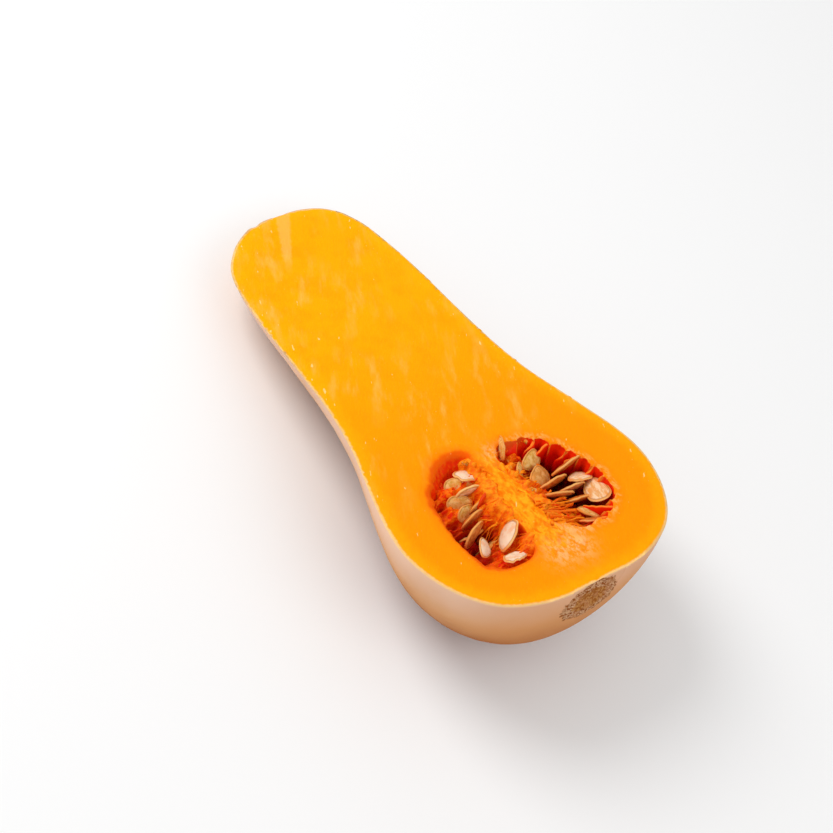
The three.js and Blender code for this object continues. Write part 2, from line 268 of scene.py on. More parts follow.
def smoothstep(value, low, high):
    t = np.clip((value - low) / (high - low), 0, 1)
    return t * t * (3 - 2 * t)


def plateau(value, rise, full, fade, end):
    """0 up to rise, 1 from full to fade, 0 again from end on, and smooth between."""
    return smoothstep(value, rise, full) * (1 - smoothstep(value, fade, end))


def catmull_rom(points, per_span, closed=False):
    """Points along a smooth curve through the given ones."""
    p = np.asarray(points, float)
    count = len(p)
    spans = count if closed else count - 1
    pick = (lambda i: p[i % count]) if closed else (lambda i: p[min(max(i, 0), count - 1)])
    made = []
    for span in range(spans):
        a, b, c, d = (pick(span + k) for k in (-1, 0, 1, 2))
        for k in range(per_span):
            t = k / per_span
            v0, v1 = (c - a) / 2, (d - b) / 2
            made.append((2 * b - 2 * c + v0 + v1) * t**3 + (-3 * b + 3 * c - 2 * v0 - v1) * t**2
                        + v0 * t + b)
    if not closed:
        made.append(p[-1])
    return np.array(made)


def respace(points, count):
    """The closed curve through the points, cut at count places equally far apart."""
    loop = np.vstack([points, points[:1]])
    steps = np.linalg.norm(np.diff(loop, axis=0), axis=1)
    travelled = np.concatenate([[0], np.cumsum(steps)])
    wanted = np.linspace(0, travelled[-1], count, endpoint=False)
    return np.column_stack([np.interp(wanted, travelled, loop[:, k]) for k in range(loop.shape[1])])


def waves(points, wavelength, seed, stretch=(1, 1, 1), count=14):
    """A smooth random field in about -1..1: sine waves in random directions."""
    rng = np.random.default_rng(seed)
    directions = rng.normal(size=(count, 3))
    directions /= np.linalg.norm(directions, axis=1)[:, None]
    directions *= 2 * math.pi / wavelength * rng.uniform(0.6, 1.5, count)[:, None]
    phases = rng.uniform(0, 2 * math.pi, count)
    placed = np.asarray(points, float) / np.array(stretch)
    return np.sin(placed @ directions.T + phases).sum(axis=1) / math.sqrt(count)


def creases(points, wavelength, seed, stretch=(1, 1, 1)):
    """A random field of rounded lumps, about 1 high, with sharp valleys between them."""
    return 1 - np.abs(waves(points, wavelength, seed, stretch))


def hump(points, x, y, radius, height=1):
    """The height at a place in the cut plane, falling off smoothly to 0 round it."""
    gap = np.hypot(points[:, 0] - x, points[:, 1] - y)
    return height * np.exp(-((gap / radius) ** 2))


def highest_hump(points, places):
    return np.maximum.reduce([hump(points, *place) for place in places])


def axis_above_cut(x):
    return AXIS_ABOVE_CUT_AT_NECK + (AXIS_ABOVE_CUT_AT_TIP - AXIS_ABOVE_CUT_AT_NECK) * x / LENGTH


def neck_lean(x):
    return NECK_LEAN * np.exp(-((x / NECK_LEAN_REACH) ** 2))


# ---- Meshes ----

def grid_faces(rows, columns, wrap=False, flip=False):
    """Quads over a grid of points stored row by row."""
    r = np.arange(rows - 1)[:, None]
    c = np.arange(columns if wrap else columns - 1)[None, :]
    a = r * columns + c
    b = r * columns + (c + 1) % columns
    quads = np.stack([a, b, b + columns, a + columns], axis=-1).reshape(-1, 4)
    return quads[:, ::-1] if flip else quads


def ring_fan(start, count, centre):
    """Triangles from each edge of a closed ring of points to a centre."""
    return [(start + i, start + (i + 1) % count, centre) for i in range(count)]


def joined(parts):
    """Meshes as one: all their points, their faces, and each array kept for the points."""
    points, faces, kept, start = [], [], [], 0
    for part_points, part_faces, *part_kept in parts:
        points.append(part_points)
        faces += [[corner + start for corner in face] for face in part_faces]
        kept.append(part_kept)
        start += len(part_points)
    return np.vstack(points), faces, *(np.concatenate(arrays) for arrays in zip(*kept))


def weld(points, faces, slots):
    """Joins points that lie in one place, and drops the faces that this closes up."""
    keys = np.round(points / 1e-4).astype(np.int64)
    _, first, where = np.unique(keys, axis=0, return_index=True, return_inverse=True)
    where = where.reshape(-1)
    kept_faces, kept_slots = [], []
    for face, slot in zip(faces, slots):
        corners = []
        for corner in where[list(face)]:
            if corner not in corners:
                corners.append(int(corner))
        if len(corners) > 2:
            kept_faces.append(corners)
            kept_slots.append(slot)
    return first, kept_faces, kept_slots


def store(mesh, key, values):
    """Keeps a number or a vector for each point, for the materials to read."""
    values = np.asarray(values, np.float32)
    if values.ndim == 1:
        mesh.attributes.new(key, "FLOAT", "POINT").data.foreach_set("value", values)
    else:
        mesh.attributes.new(key, "FLOAT_VECTOR", "POINT").data.foreach_set("vector", values.ravel())


def add_object(name, data):
    obj = bpy.data.objects.new(name, data)
    bpy.context.scene.collection.objects.link(obj)
    return obj


def make_object(name, points, faces, materials, attributes, slots=None):
    """A smooth-shaded mesh object from points in the fruit's frame, riding on the part."""
    mesh = bpy.data.meshes.new(name)
    mesh.from_pydata(to_row(points).tolist(), [], [list(map(int, f)) for f in faces])
    for material in materials:
        mesh.materials.append(material)
    if slots is not None:
        mesh.polygons.foreach_set("material_index", np.array(slots, np.int32))
    mesh.polygons.foreach_set("use_smooth", [True] * len(mesh.polygons))
    store(mesh, "place", points)
    for key, values in attributes.items():
        store(mesh, key, values)
    mesh.update()
    obj = add_object(name, mesh)
    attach(obj, "root")
    return obj


def distance_to(points, targets):
    """How far each point is from the nearest target."""
    tree = KDTree(len(targets))
    for i, target in enumerate(targets):
        tree.insert(Vector(target), i)
    tree.balance()
    return np.array([tree.find(Vector(p))[2] for p in points])


def inside(points, outline):
    """Which of the points lie inside a closed outline, in x and y."""
    x, y = points[:, 0], points[:, 1]
    result = np.zeros(len(points), bool)
    for (x0, y0), (x1, y1) in zip(outline[:, :2], np.roll(outline[:, :2], -1, axis=0)):
        if y0 == y1:
            continue
        crosses = (y0 > y) != (y1 > y)
        result ^= crosses & (x < (x1 - x0) * (y - y0) / (y1 - y0) + x0)
    return result


def inside_cut_face(points, rim, holes):
    """Which of the points lie inside the fruit's rim and outside the chambers."""
    keep = inside(points, rim)
    for hole in holes:
        keep &= ~inside(points, hole)
    return keep


# ---- The half fruit ----

def skin_stations():
    """Places and radii of the skin's sections, from the neck's rim to the blossom end."""
    curve = catmull_rom(PROFILE, SKIN_PER_SPAN)
    below = curve[:, 1] > axis_above_cut(curve[:, 0])
    below &= np.arange(len(curve)) >= 2 * SKIN_PER_SPAN
    kept = curve[below]
    return kept[kept[:, 1] > -AXIS_ABOVE_CUT_AT_TIP * 1.02]


def skin_grid():
    """The skin's points, row by row, each row from the near rim round below to the far rim."""
    stations = skin_stations()
    x, radius = stations[:, :1], stations[:, 1:]
    height = axis_above_cut(x)
    half_turn = np.arccos(np.clip(height / radius, -1, 1))
    theta = half_turn * np.linspace(-1, 1, SKIN_COLUMNS)[None, :]
    y = neck_lean(x) + radius * np.sin(theta)
    z = height - radius * np.cos(theta)
    z[:, 0] = z[:, -1] = 0
    return np.stack([np.broadcast_to(x, y.shape), y, z], axis=-1)


def rim_ring(rim, ridge_y, cusps, depth):
    """A chamber's rim, the way out from it, how far the pockets push it, and where they meet."""
    ring = respace(catmull_rom(rim, RIM_PER_SPAN, closed=True), RIM_COUNT)
    steps = np.roll(ring, -1, axis=0) - np.roll(ring, 1, axis=0)
    along = steps / np.linalg.norm(steps, axis=1)[:, None]
    outward = np.column_stack([along[:, 1], -along[:, 0], np.zeros(RIM_COUNT)])
    nearest = [int(np.argmin(np.linalg.norm(ring - np.array(c), axis=1))) for c in cusps]
    on_wall = smoothstep(np.abs(ring[:, 1] - ridge_y) / CHAMBER_WIDTH, 0.25, 0.6)
    push = -CUSP_REACH * depth * on_wall
    cusp = np.zeros(RIM_COUNT)
    for first, last in zip(nearest, nearest[1:]):
        span = (last - first) % RIM_COUNT
        for k in range(span + 1):
            t = k / span
            at = (first + k) % RIM_COUNT
            pocket = math.sqrt(4 * t * (1 - t))
            push[at] = depth * (pocket - CUSP_REACH * on_wall[at])
            cusp[at] = min(depth, 1) * (1 - pocket)
    ring = np.column_stack([ring, np.zeros(RIM_COUNT)])
    push += on_wall * (0.35 * waves(ring, 5, 23) + 0.12 * waves(ring, 2, 24))
    return ring, outward, push, cusp


def chamber_wall(ring, outward, push):
    """The hollow's wall from rim to floor, as rows of points. Pockets are deepest below the rim."""
    downs, shares = zip(*BOWL_STEPS)
    middle = ring.mean(axis=0)
    slope = highest_hump(ring, SLOPED_WALLS)
    rows = []
    for share_down in np.linspace(0, 1, BOWL_ROWS):
        share = np.interp(share_down, downs, shares)
        swell = 0.8 + 0.6 * math.sin(math.pi * min(share_down / 0.7, 1)) - 0.4 * share_down
        moved = push * swell - slope * min(share_down * 2, 1)
        row = middle + (ring - middle) * share + outward * moved[:, None]
        row[:, 2] = -CHAMBER_DEPTH * share_down
        rows.append(row)
    return np.array(rows)


def bowl(wall, cusp):
    """A chamber's wall and floor as a mesh, with the sharpness of its pockets' edges."""
    count = BOWL_ROWS * RIM_COUNT
    points = np.vstack([wall.reshape(-1, 3), wall[-1].mean(axis=0)])
    floor = ring_fan(count - RIM_COUNT, RIM_COUNT, count)
    faces = [*grid_faces(BOWL_ROWS, RIM_COUNT, wrap=True), *floor]
    return points, faces, np.append(np.tile(cusp, BOWL_ROWS), 0)


def cut_face_points(rim, holes):
    """Points spread over the cut face: finer round the chambers than in the neck."""
    rng = np.random.default_rng(3)
    spread = []
    for spacing, box in ((FACE_SPACING, FACE_BOX), (FINE_SPACING, FINE_BOX)):
        xs, ys = np.arange(box[0], box[2], spacing), np.arange(box[1], box[3], spacing * 0.87)
        gx, gy = np.meshgrid(xs, ys)
        gx[1::2] += spacing / 2
        points = np.column_stack([gx.ravel(), gy.ravel()])
        points += rng.uniform(-0.18, 0.18, points.shape) * spacing
        spread.append(points)
    coarse, fine = spread
    low, high = np.array(FINE_BOX[:2]) - FINE_MARGIN, np.array(FINE_BOX[2:]) + FINE_MARGIN
    in_fine = ((coarse > low) & (coarse < high)).all(axis=1)
    points = np.vstack([coarse[~in_fine], fine])
    points = points[inside_cut_face(points, rim, holes)]
    points = np.column_stack([points, np.zeros(len(points))])
    return points[distance_to(points, np.vstack([rim, *holes])) > EDGE_CLEARANCE]


def cut_face(rim, holes):
    """Triangles of the cut face between the fruit's rim and the chambers' rims."""
    points = np.vstack([rim, *holes, cut_face_points(rim, holes)])
    edges, start = [], 0
    for loop in (rim, *holes):
        count = len(loop)
        edges += [(start + i, start + (i + 1) % count) for i in range(count)]
        start += count
    made = delaunay_2d_cdt([Vector(p[:2]) for p in points], edges, [], 0, 1e-7)
    origin = [ids[0] for ids in made[3]]
    triangles = np.array([[origin[c] for c in face] for face in made[2]])
    middles = points[triangles].mean(axis=1)
    return points, triangles[inside_cut_face(middles, rim, holes)]


def half_fruit(skin, flesh, cavity):
    """The half as one closed mesh: skin, cut face and the walls of both chambers."""
    grid = skin_grid()
    rows, columns = grid.shape[:2]
    rim = np.vstack([grid[:, -1], grid[-2::-1, 0]])
    rim = rim[np.linalg.norm(np.diff(rim, axis=0, append=rim[:1]), axis=1) > 1e-4]
    tip = [grid[-1, 0, 0], 0, AXIS_ABOVE_CUT_AT_TIP]
    last_row = (rows - 1) * columns
    tip_fan = [(last_row + i, last_row + i + 1, rows * columns) for i in range(columns - 1)]
    skin_points = np.vstack([grid.reshape(-1, 3), tip])

    *far_shape, far_cusp = rim_ring(FAR_RIM, FAR_RIDGE_Y, FAR_CUSPS, FAR_POCKET_DEPTH)
    *near_shape, near_cusp = rim_ring(NEAR_RIM, NEAR_RIDGE_Y, NEAR_CUSPS, NEAR_POCKET_DEPTH)
    far_wall, near_wall = chamber_wall(*far_shape), chamber_wall(*near_shape)
    holes = (far_wall[0], near_wall[0])
    face_points, face_triangles = cut_face(rim, holes)

    parts = [
        (skin_points, [*grid_faces(rows, columns), *tip_fan], np.zeros(len(skin_points))),
        (face_points, face_triangles, np.zeros(len(face_points))),
        bowl(far_wall, far_cusp),
        bowl(near_wall, near_cusp),
    ]
    points, faces, cusp = joined(parts)
    slots = np.repeat([0, 1, 2, 2], [len(part[1]) for part in parts])
    first, faces, slots = weld(points, faces, slots)
    points, cusp = points[first], cusp[first]
    attributes = {
        "rim": distance_to(points, rim),
        "chamber": distance_to(points, np.vstack(holes)),
        "cusp": cusp,
    }
    points = fruit_relief(points, attributes)
    obj = make_object("squash_half_visual", points, faces, (skin, flesh, cavity), attributes, slots)
    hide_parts("squash_half")


def ridge_share(points):
    """How much a point of the cut face belongs to the fibrous ridge between the chambers."""
    return plateau(points[:, 1], *RIDGE_ACROSS) * plateau(points[:, 0], *RIDGE_ALONG)


def face_lift(points, rim, chamber):
    """How far each point of the cut face stands off the plane of the cut."""
    ridge = ridge_share(points)
    torn, soft = highest_hump(points, TORN_PLACES), highest_hump(points, SOFT_RIMS)
    lift = 0.1 * waves(points, 40, 11) + 0.04 * waves(points, 9, 12, (3, 1, 1))
    lift += ridge * 1.0 * (creases(points, 5.5, 13, (2.2, 1, 1)) - 0.9)
    lift += ridge * 0.4 * (creases(points, 2, 14, (2.4, 1, 1)) - 0.5)
    lift += torn * 0.6 * (creases(points, 2.4, 22, (1.6, 1, 1)) - 0.6)
    crumbs = np.exp(-chamber / 1.6) * smoothstep(points[:, 1], 7, 12)
    lift += crumbs * 0.7 * (creases(points, 2.2, 27) - 0.5)
    drop = 0.35 + (1.2 + 0.6 * waves(points, 6, 26)) * ridge + 1.6 * soft
    lift -= drop * np.exp(-chamber / (0.6 + 1.8 * np.maximum(ridge, soft)))
    return lift - 0.35 * np.clip(1 - rim / 1.2, 0, 1) ** 2


def roughen_ends(points, attributes, on_tip, on_face):
    """Roughens the blossom scar's cork, and marks where the stem stood."""
    from_scar = 2 * np.hypot((points[:, 1] - SCAR_Y) / SCAR_WIDTH,
                             (points[:, 2] - SCAR_Z) / SCAR_HEIGHT)
    from_scar += 0.05 * waves(points, 6, 15) + 0.035 * waves(points, 2, 25)
    scar = on_tip * (1 - smoothstep(from_scar, 0.92, 1.04))
    attributes["scar"] = scar
    attributes["scar_distance"] = from_scar
    rough = 0.28 * waves(points, 3.0, 16) + 0.2 * waves(points, 1.3, 17)
    below = smoothstep(attributes["rim"], 0, 2.5) * (~on_face)
    points[:, 0] += scar * rough * np.maximum(below, 0.25)
    on_neck_end = 1 - smoothstep(points[:, 0], 2, 6)
    points[:, 0] += on_neck_end * sum(hump(points, *mark) for mark in STEM_MARKS)


def fruit_relief(points, attributes):
    """Moves the points a little for what a knife, a scar and torn strings leave."""
    points = points.copy()
    on_face = np.abs(points[:, 2]) < 1e-6
    rim, chamber = attributes["rim"], attributes["chamber"]
    wall = ~on_face & ~skin_surface(points)
    wall &= np.hypot((points[:, 0] - 172) / 34, points[:, 1] / 44) < 1.05
    attributes["ridge"] = ridge_share(points)
    attributes["torn"] = highest_hump(points, TORN_PLACES)
    attributes["soft"] = highest_hump(points, SOFT_RIMS)
    attributes["grain"] = turned(points, GRAIN_TURN)
    held_up = np.where(wall, smoothstep(-points[:, 2], 0, 6), ~on_face)
    points[:, 2] += (1 - held_up) * face_lift(points, rim, np.where(wall, 0, chamber))

    radius = np.hypot(points[:, 1], points[:, 2] - axis_above_cut(points[:, 0]))
    on_tip = smoothstep(points[:, 0], 206, 212)
    roughen_ends(points, attributes, on_tip, on_face)

    skin_only = (points[:, 2] < -0.01) & (chamber > 6)
    bumps = 0.16 * waves(points, 30, 18, (1.8, 1, 1)) + 0.05 * waves(points, 8, 19)
    outward = np.column_stack([
        np.zeros(len(points)), points[:, 1], points[:, 2] - axis_above_cut(points[:, 0]),
    ]) / np.maximum(radius, 1)[:, None]
    held = smoothstep(rim, 0, 6) * skin_only * (1 - on_tip)
    points += outward * (bumps * held)[:, None]

    depth = smoothstep(-points[:, 2], 0, 3)
    shake = 0.35 * waves(points, 5, 20, (1, 1, 2)) + 0.12 * waves(points, 1.8, 21, (1, 1, 3))
    points[:, 1] += np.where(wall, shake * depth, 0)
    return above_floor(points)


def turned(points, angle):
    """The points' coordinates along and across a direction in the cut plane."""
    c, s = math.cos(angle), math.sin(angle)
    x, y = points[:, 0], points[:, 1]
    return np.column_stack([x * c + y * s, y * c - x * s, points[:, 2]])


def above_floor(points):
    """Lifts what would pass through the floor back up to it."""
    sunk = np.minimum(to_row(points)[:, 2] * 1000, 0)
    up = np.array([math.sin(REST_TILT), 0, math.cos(REST_TILT)])
    return points - sunk[:, None] * up


def skin_surface(points):
    """Which points lie on the fruit's skin."""
    x = points[:, 0]
    order = np.array([p for p in PROFILE if p[1] > 15])
    radius = np.hypot(points[:, 1] - neck_lean(x), points[:, 2] - axis_above_cut(x))
    return radius > np.interp(x, order[:, 0], order[:, 1]) - 4


def septum(x, y, heading, length, drop, seed):
    """One thin wall between two pockets: from inside the flesh towards the ridge, sinking."""
    share = np.linspace(0, 1, SEPTUM_STEPS)
    turn = math.radians(heading)
    along = np.array([math.cos(turn), math.sin(turn)])
    across = np.array([-math.sin(turn), math.cos(turn)])
    bow = 0.8 * np.sin(math.pi * share) * (-1) ** seed
    middle = np.array([x, y]) + np.outer(share * length - 1.2, along) + np.outer(bow, across)
    top = -0.4 - drop * share**1.3 + 0.3 * waves(np.column_stack([middle, share]), 3, seed)
    half = 0.85 - 0.4 * share
    loops, edge = [], []
    for side, below in [(-SEPTUM_FOOT, None), *SEPTUM_SECTION, (SEPTUM_FOOT, None)]:
        place = middle + np.outer(half * side, across)
        depth = np.full(SEPTUM_STEPS, SEPTUM_BASE) if below is None else top - below
        loops.append(np.column_stack([place, depth]))
        edge.append(np.full(SEPTUM_STEPS, 0 if below is None else math.exp(-below / 0.8)))
    points = np.vstack(loops)
    points += 0.12 * waves(points, 2, seed + 1)[:, None]
    starts = [loop * SEPTUM_STEPS for loop in range(len(loops))]
    ends = [start + SEPTUM_STEPS - 1 for start in starts]
    last = starts[-1]
    under = [(last + i + 1, i + 1, i, last + i) for i in range(SEPTUM_STEPS - 1)]
    faces = [*grid_faces(len(loops), SEPTUM_STEPS), starts, ends[::-1], *under]
    return points, faces, np.concatenate(edge)


def septa(cavity):
    """The thin walls between the far chamber's pockets."""
    points, faces, cusp = joined(septum(*place, 80 + k) for k, place in enumerate(SEPTA))
    obj = make_object("septa_visual", points, faces, [cavity], {"cusp": cusp})
    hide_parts("squash_half")


# ---- Seeds ----

def seed_outline():
    """A drop: its point at -x, its round end at +x, both half sides alike."""
    angle = np.linspace(0, 2 * math.pi, SEED_AROUND, endpoint=False)
    forward = np.cos(angle)
    pinch = 1 - 0.25 * smoothstep(-forward, 0.6, 1)
    side = np.sin(angle) * (1 + 0.3 * forward) * pinch
    side *= SEED_WIDTH / 2 / np.abs(side).max()
    return np.column_stack([SEED_LENGTH / 2 * forward, side])


def seed_half_thickness(ring, plump):
    """Half the seed's thickness: a nearly flat face, a groove, and a rounded raised rim."""
    face = (SEED_THICKNESS / 2 - 0.6) * plump * np.clip(1 - (ring / 0.86) ** 2.4, 0, 1) ** 0.7
    edge = 0.42 * np.sqrt(np.clip((1 - ring) / 0.1, 0, 1))
    bead = 0.2 * np.exp(-(((ring - 0.94) / 0.03) ** 2))
    groove = 0.14 * np.exp(-(((ring - 0.86) / 0.03) ** 2))
    return face + edge + bead - groove


def seed_turn(heading, dip, roll):
    turn = Matrix.Rotation(math.radians(heading), 3, "Z")
    turn = turn @ Matrix.Rotation(math.radians(dip), 3, "Y")
    return np.array(turn @ Matrix.Rotation(math.radians(roll), 3, "X"))


def seed_faces():
    """Faces over the upper rings, the lower rings and the edge between them."""
    count = len(SEED_RINGS) * SEED_AROUND
    upper = grid_faces(len(SEED_RINGS), SEED_AROUND, wrap=True)
    lower = grid_faces(len(SEED_RINGS) - 1, SEED_AROUND, wrap=True, flip=True) + count
    edge_up = count - SEED_AROUND
    edge_down = 2 * count - 2 * SEED_AROUND
    edge = []
    for i in range(SEED_AROUND):
        j = (i + 1) % SEED_AROUND
        edge.append((edge_up + j, edge_down + j, edge_down + i, edge_up + i))
    return [*upper, *lower, *edge]


def seed_mesh(place, rng):
    """A seed's points and faces, its shading numbers, and where its own noise is read."""
    x, y, z, heading, dip, roll, size, tone = place
    outline = seed_outline()
    rings = np.array(SEED_RINGS)
    plump = rng.uniform(0.8, 1.05)
    around = np.column_stack([outline, np.full(SEED_AROUND, 20 * tone + x)])
    torn = 0.22 if tone == 1 else 0
    ragged = 1 + 0.03 * waves(around, 7, 32) - torn * np.clip(waves(around, 6, 34), 0, 1)
    flat = rings[:, None, None] * (outline * ragged[:, None])[None, :, :]
    half = seed_half_thickness(rings, plump)
    upper = np.dstack([flat, np.broadcast_to(half[:, None], flat.shape[:2])])
    lower = np.dstack([flat[:-1], np.broadcast_to(-half[:-1, None], flat[:-1].shape[:2])])
    local = np.vstack([upper.reshape(-1, 3), lower.reshape(-1, 3)])
    bend = rng.uniform(-0.5, 0.5)
    local[:, 2] += bend * (local[:, 0] / 7) ** 2
    local[:, 2] += (0.1 + torn) * waves(local + 50 * tone + x, 4, 31)
    ring = np.repeat([*SEED_RINGS, *SEED_RINGS[:-1]], SEED_AROUND)
    faces = seed_faces()
    first, faces, _ = weld(local, faces, [0] * len(faces))
    local, ring = local[first], ring[first]
    points = local * size @ seed_turn(heading, dip, roll).T + np.array([x, y, z])
    shade = np.column_stack([ring, local[:, 0] / SEED_LENGTH, np.full(len(ring), tone)])
    return points, faces, shade, local + rng.uniform(0, 400, 3)


def lower_seeds(rim, ridge_y):
    """A hidden tier in a row through the chamber's middle, as in the part's source."""
    side = math.copysign(1, ridge_y)
    middle = np.mean(rim, axis=0)
    row = []
    for i in range(LOWER_SEEDS):
        along = i / (LOWER_SEEDS - 1) - 0.5
        row.append((
            middle[0] + along * LOWER_TIER_LENGTH, middle[1] - side * abs(along) * LOWER_TIER_BOW,
            LOWER_TIER_Z, side * (90 - along * LOWER_TIER_FAN), LOWER_TIER_DIP,
            -side * LOWER_TIER_ROLL, LOWER_SEED_SIZE, LOWER_SEED_TONE,
        ))
    return row


def seeds(name, places, material, seed, node):
    """All the seeds of one chamber as one object."""
    rng = np.random.default_rng(seed)
    points, faces, shade, own = joined(seed_mesh(place, rng) for place in places)
    obj = make_object(name, points, faces, [material], {"seed": shade, "own": own})
    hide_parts(node)


# ---- Pulp and strings ----

def pulp_top(points, ridge_y):
    """The height of the pulp at places in the cut plane."""
    away = np.abs(points[:, 1] - ridge_y) / CHAMBER_WIDTH
    slope = smoothstep(away, 0, 0.5)
    top = PULP_TOP_AT_RIDGE + (PULP_TOP_AT_WALL - PULP_TOP_AT_RIDGE) * slope
    for hollow in HOLLOWS:
        top -= hump(points, *hollow)
    flat = points * np.array([1, 1, 0])
    rough = 2.4 * (creases(flat, 6, 41, (1, 1.8, 1)) - 0.5)
    rough += 0.7 * (creases(flat, 2.6, 42, (1, 2.2, 1)) - 0.5)
    rough *= 0.4 + 0.6 * smoothstep(away, 0, 0.12)
    return np.clip(top + rough, 1 - CHAMBER_DEPTH, -0.3 + 0.25 * waves(flat, 3, 43))


def pulp_rows(rim, ridge_y):
    """The pulp's surface as rings of points: its floor, its lapping edge, then in to the middle."""
    ring, outward, _, _ = rim_ring(rim, ridge_y, [], 0)
    middle = ring.mean(axis=0)
    by_ridge = 1 - smoothstep(np.abs(ring[:, 1] - ridge_y), 1.5, 6)
    by_ridge *= smoothstep(-outward[:, 1] * math.copysign(1, ridge_y), 0.5, 0.9)
    reach = PULP_OVERLAP * by_ridge * (1 + 0.5 * waves(ring, 7, 44) + 0.25 * waves(ring, 2.5, 45))
    reach = np.maximum(reach, 0)
    rows = []
    for share, height in ((0.3, -0.5), (0.97, 2)):
        row = middle + (ring - middle) * share
        row[:, 2] = -CHAMBER_DEPTH + height
        rows.append(row)
    for share in np.linspace(1, 0, PULP_EDGE_ROWS, endpoint=False):
        row = ring + outward * (reach * share)[:, None]
        row[:, 2] = pulp_top(row, ridge_y) - PULP_EDGE_DROP * by_ridge * share**2
        rows.append(row)
    for share in np.linspace(1, 0.01, PULP_ROWS):
        row = middle + (ring - middle) * share
        row[:, 2] = pulp_top(row, ridge_y)
        rows.append(row)
    return np.array(rows)


def pulp(name, rim, ridge_y, material, node):
    """The pulp's bed: stringy lumps from the ridge's flank down over the chamber's floor."""
    rows = pulp_rows(rim, ridge_y)
    count = len(rows) * RIM_COUNT
    points = np.vstack([rows.reshape(-1, 3), rows[-1].mean(axis=0), rows[0].mean(axis=0)])
    faces = [
        *grid_faces(len(rows), RIM_COUNT, wrap=True, flip=True),
        *ring_fan(count - RIM_COUNT, RIM_COUNT, count),
        *(face[::-1] for face in ring_fan(0, RIM_COUNT, count + 1)),
    ]
    away = np.abs(points[:, 1] - ridge_y)
    obj = make_object(name, points, faces, [material], {"away": away})
    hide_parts(node)


def string_path(begin, end, sag, rng):
    """A sagging and slightly shaken line from one point to another."""
    t = np.linspace(0, 1, STRING_STEPS)
    begin, end = np.array(begin, float), np.array(end, float)
    path = begin + (end - begin) * t[:, None]
    path[:, 2] -= sag * np.sin(math.pi * t)
    shake = rng.normal(size=(3, 3)) * 0.035 * np.linalg.norm(end - begin)
    for k in range(3):
        path += np.sin(math.pi * (k + 1) * t)[:, None] * shake[k] / (k + 1)
    return path


def string_widths(width, rng):
    """Half widths along a string: thick at both ends, thin in the middle, a little uneven."""
    t = np.linspace(0, 1, STRING_STEPS)
    widths = width * (0.45 + 0.55 * np.abs(1 - 2 * t) ** 1.5)
    widths *= 1 + 0.1 * rng.normal(size=STRING_STEPS)
    return np.clip(widths, 0.05, None)


def string_tube(path, widths, flatness, turn):
    """A closed tube along a path, its section flattened and turned."""
    steps = np.gradient(path, axis=0)
    along = steps / np.linalg.norm(steps, axis=1)[:, None]
    side = np.cross(along, np.array([0.1, 0.2, 1.0]))
    side /= np.linalg.norm(side, axis=1)[:, None]
    up = np.cross(side, along)
    angle = np.linspace(0, 2 * math.pi, STRING_SIDES, endpoint=False)
    c, s = math.cos(turn), math.sin(turn)
    u, v = np.cos(angle), np.sin(angle) * flatness
    across, rise = u * c - v * s, u * s + v * c
    points = path[:, None, :] + widths[:, None, None] * (
        side[:, None, :] * across[None, :, None] + up[:, None, :] * rise[None, :, None])
    cap = np.arange(STRING_SIDES)
    last = (len(path) - 1) * STRING_SIDES
    faces = [*grid_faces(len(path), STRING_SIDES, wrap=True), cap[::-1], cap + last]
    return points.reshape(-1, 3), faces


def strings(name, specs, material, node, seed):
    """Many strings as one object. Each spec: start, end, half width, sag, flatness, tone."""
    rng = np.random.default_rng(seed)
    parts = []
    for begin, end, width, sag, flatness, tone in specs:
        path, widths = string_path(begin, end, sag, rng), string_widths(width, rng)
        points, faces = string_tube(path, widths, flatness, rng.uniform(0, math.pi))
        parts.append((points, faces, np.full(len(points), tone)))
    points, faces, tones = joined(parts)
    obj = make_object(name, points, faces, [material], {"tone": tones})
    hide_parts(node)


def drawn(rng, ranges):
    """A number from each range."""
    return [rng.uniform(low, high) for low, high in ranges]


def seed_tip(place):
    x, y, z, heading, dip, roll, size, _ = place
    return np.array([x, y, z]) - seed_turn(heading, dip, roll)[:, 0] * SEED_LENGTH / 2 * size * 0.8


def tie_strings(places, rim, ridge_y, seed):
    """Strings from the ridge's flank to each seed near it, fanned out at both ends."""
    rng = np.random.default_rng(seed)
    side = math.copysign(1, ridge_y)
    low = min(p[0] for p in rim)
    specs = []
    for place in places:
        tip = seed_tip(place)
        if abs(tip[1] - ridge_y) > TIE_REACH or tip[0] < low:
            continue
        for _ in range(TIES_PER_SEED):
            root = np.array([tip[0] + rng.normal(0, 2.5), ridge_y - side * rng.uniform(0, 2),
                             -rng.uniform(1, 6)])
            end = tip + rng.normal(0, 1, 3) * np.array([1.2, 2.0, 0.8])
            specs.append((root, end, *drawn(rng, TIE_TRAITS)))
    return specs


def bed_strings(rim, ridge_y, seed):
    """Strings lying over the pulp, from the ridge outward."""
    rng = np.random.default_rng(seed)
    side = math.copysign(1, ridge_y)
    low, high = min(p[0] for p in rim) + 4, max(p[0] for p in rim) - 4
    specs = []
    for _ in range(BED_STRINGS):
        x = rng.uniform(low, high)
        reach = rng.uniform(3, 8)
        begin = np.array([[x, ridge_y + side * rng.uniform(0, 7), 0]])
        end = np.array([[x + rng.normal(0, 3), begin[0, 1] + side * reach, 0]])
        begin[0, 2] = pulp_top(begin, ridge_y)[0] - 0.2
        end[0, 2] = pulp_top(end, ridge_y)[0] - 0.2
        specs.append((begin[0], end[0], *drawn(rng, BED_TRAITS)))
    return specs


